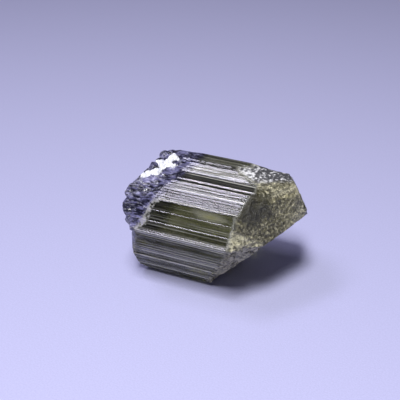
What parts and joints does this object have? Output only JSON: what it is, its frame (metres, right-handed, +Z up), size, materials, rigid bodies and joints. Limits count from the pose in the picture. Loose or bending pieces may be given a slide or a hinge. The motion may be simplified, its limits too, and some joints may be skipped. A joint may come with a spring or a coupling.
{
  "type": "tourmaline crystal",
  "caption": "Stubby ridged prism of clear olive tourmaline lying on its side, with an oblique frosted tip and an opaque blue-black root that holds a patch of white mineral.",
  "frame": {"origin": "on the surface the crystal rests on, under the middle of its bounding box", "axes": "+Z up, +X along the prism from the dark root to the tip, -Y towards the front with the shoulder and lower front faces"},
  "size_m": [0.0172, 0.0128, 0.0126],
  "materials": {
    "tourmaline": "glossy on the ridged prism faces, frosted on the tip",
    "albite": "sugary, nearly matte",
    "dark_tourmaline": "glossy"
  },
  "bodies": {
    "root": {"tourmaline_crystal": "tourmaline", "albite_matrix": "albite", "outer_small_crystal": "dark_tourmaline", "inner_small_crystal": "dark_tourmaline"}
  },
  "joints": []
}
